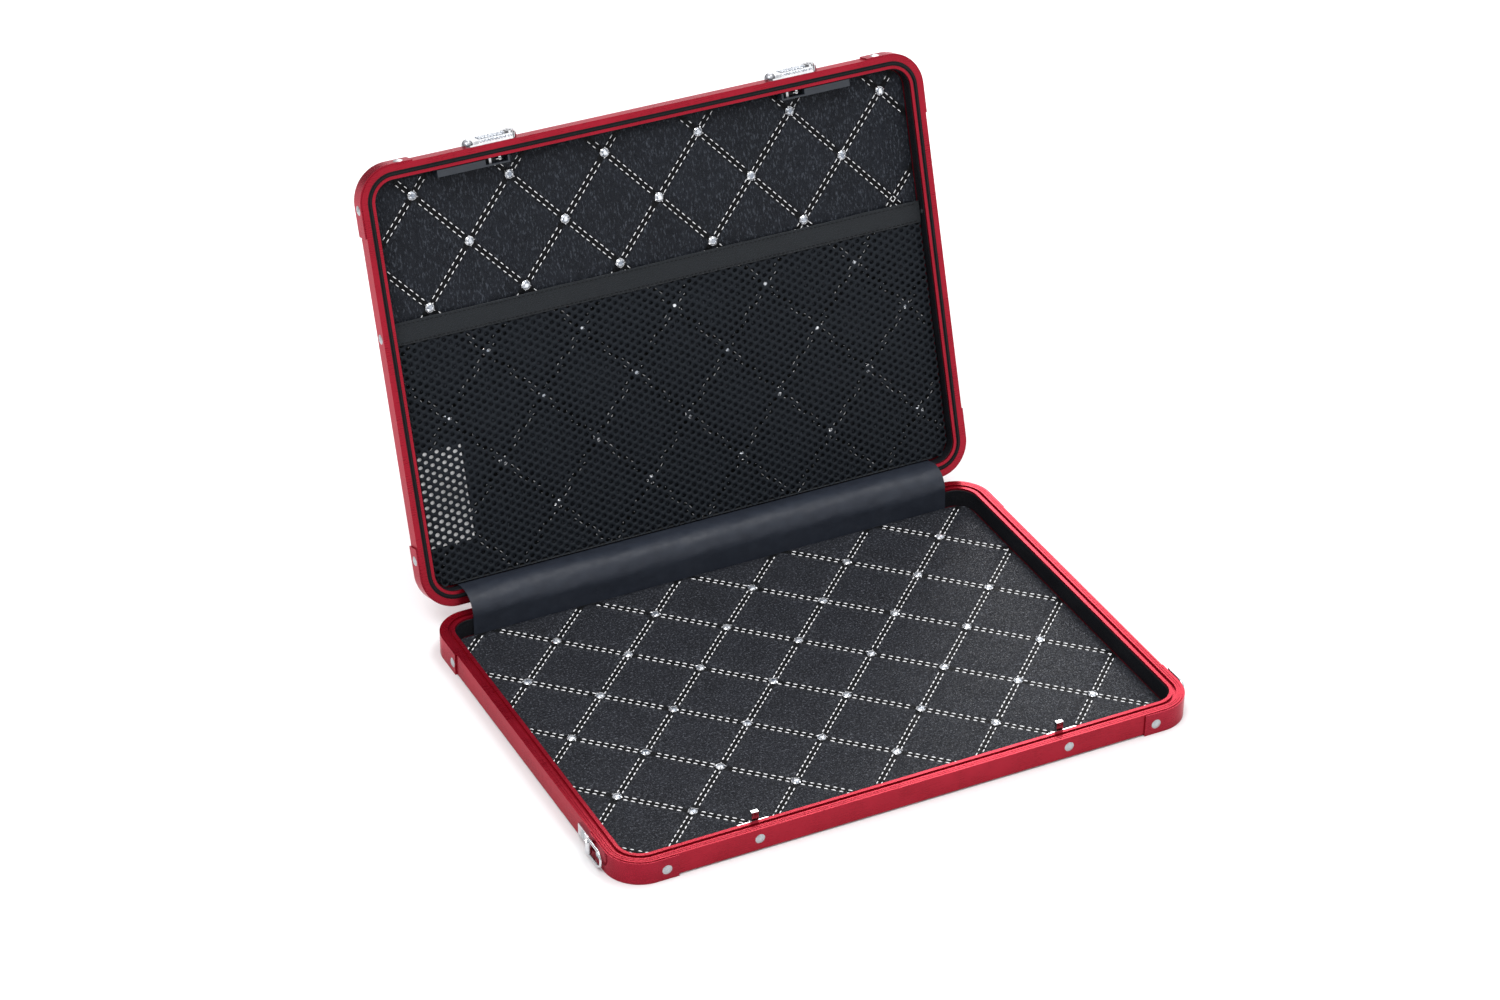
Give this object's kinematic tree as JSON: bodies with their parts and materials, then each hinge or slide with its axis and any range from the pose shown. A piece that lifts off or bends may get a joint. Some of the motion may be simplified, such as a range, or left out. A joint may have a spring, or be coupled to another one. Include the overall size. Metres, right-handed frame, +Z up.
{
  "type": "attache case",
  "caption": "Slim document case with extruded rims, pressed panels, quilted lining, mesh pocket, sliding locks, butt hinges and strap rings.",
  "frame": {"origin": "centre of the base's underside, on the surface the case stands on", "axes": "+X along the case's width, -Y towards its front (lock) side, +Z up"},
  "size_m": [0.4112, 0.3997, 0.3018],
  "materials": {
    "red_frame": "satin red anodised extrusion",
    "red_panel": "fine-grained red anodised sheet",
    "red_cap": "satin red anodised pressing",
    "rivet_steel": "polished rivet heads",
    "lining_leather": "smooth black leatherette",
    "quilt_leather": "grained black leatherette, white stitches",
    "stone": "clear faceted stones in claw settings",
    "bright_steel": "bright nickel plate",
    "hinge_steel": "brushed steel",
    "strip_vinyl": "soft black vinyl with a low sheen",
    "gasket_rubber": "matt black rubber",
    "net_fabric": "black knitted net",
    "hem_fabric": "black grained binding",
    "label_fabric": "white blank patch",
    "lock_chrome": "stone-set bright plate",
    "knob_steel": "smooth dark nickel",
    "lock_case_plastic": "black moulded cover"
  },
  "bodies": {
    "base": {"base_frame": "red_frame", "base_panel": "red_panel", "base_cap_fl": "red_cap", "base_cap_fr": "red_cap", "base_cap_bl": "red_cap", "base_cap_br": "red_cap", "base_cap_rivets": "rivet_steel", "base_lining": "lining_leather", "base_quilt": "quilt_leather", "base_stones": "stone", "strike_left": "bright_steel", "strike_right": "bright_steel", "strike_rivets": "rivet_steel", "strap_bracket_left": "bright_steel", "strap_bracket_right": "bright_steel", "strap_rivets": "rivet_steel", "hinge_base_leaf_left": "hinge_steel", "hinge_base_leaf_right": "hinge_steel", "hinge_pin_left": "hinge_steel", "hinge_pin_right": "hinge_steel", "hinge_base_rivets": "hinge_steel", "hinge_strip": "strip_vinyl"},
    "lid": {"lid_frame": "red_frame", "lid_panel": "red_panel", "lid_gasket": "gasket_rubber", "lid_cap_fl": "red_cap", "lid_cap_fr": "red_cap", "lid_cap_bl": "red_cap", "lid_cap_br": "red_cap", "lid_cap_rivets": "rivet_steel", "lid_lining": "lining_leather", "lid_quilt": "quilt_leather", "lid_stones": "stone", "pocket_net": "net_fabric", "pocket_hem": "hem_fabric", "pocket_rivets": "rivet_steel", "label_patch": "label_fabric", "lock_plate_left": "lock_chrome", "lock_plate_right": "lock_chrome", "lock_spring_left": "hinge_steel", "lock_spring_right": "hinge_steel", "lock_case_left": "lock_case_plastic", "lock_case_right": "lock_case_plastic", "lock_pillars": "hinge_steel", "hinge_lid_leaf_left": "hinge_steel", "hinge_lid_leaf_right": "hinge_steel", "hinge_lid_rivets": "hinge_steel"},
    "latch_left": {"lock_knob_left": "knob_steel", "lock_bolt_left": "bright_steel"},
    "latch_right": {"lock_knob_right": "knob_steel", "lock_bolt_right": "bright_steel"},
    "plug_left": {"lock_plug_left": "lock_chrome"},
    "plug_right": {"lock_plug_right": "lock_chrome"},
    "strap_ring_left": {"strap_ring_left": "bright_steel"},
    "strap_ring_right": {"strap_ring_right": "bright_steel"}
  },
  "joints": [
    {"name": "lid_hinge", "type": "hinge", "parent": "base", "child": "lid", "pos_m": [0, 0.149, 0.0163], "axis": [1, 0, 0], "range_deg": [0, 108], "deforming": ["hinge_strip"]},
    {"name": "latch_slide_left", "type": "slide", "parent": "lid", "child": "latch_left", "axis": [1, 0, 0], "range_m": [0, 0.0024], "stiffness_N_per_m": 300, "springref_m": -0.002, "deforming": ["lock_spring_left"]},
    {"name": "key_turn_left", "type": "hinge", "parent": "lid", "child": "plug_left", "pos_m": [-0.0945, 0.24709, 0.30039], "axis": [0, 0.309, 0.9511], "range_deg": [0, 90]},
    {"name": "ring_swing_left", "type": "hinge", "parent": "base", "child": "strap_ring_left", "pos_m": [-0.2034, -0.107, 0.0083], "axis": [0, 0, -1], "range_deg": [0, 150]},
    {"name": "latch_slide_right", "type": "slide", "parent": "lid", "child": "latch_right", "axis": [1, 0, 0], "range_m": [0, 0.0024], "stiffness_N_per_m": 300, "springref_m": -0.002, "deforming": ["lock_spring_right"]},
    {"name": "key_turn_right", "type": "hinge", "parent": "lid", "child": "plug_right", "pos_m": [0.1205, 0.24709, 0.30039], "axis": [0, 0.309, 0.9511], "range_deg": [0, 90]},
    {"name": "ring_swing_right", "type": "hinge", "parent": "base", "child": "strap_ring_right", "pos_m": [0.2034, -0.107, 0.0083], "axis": [0, 0, 1], "range_deg": [0, 150]}
  ]
}
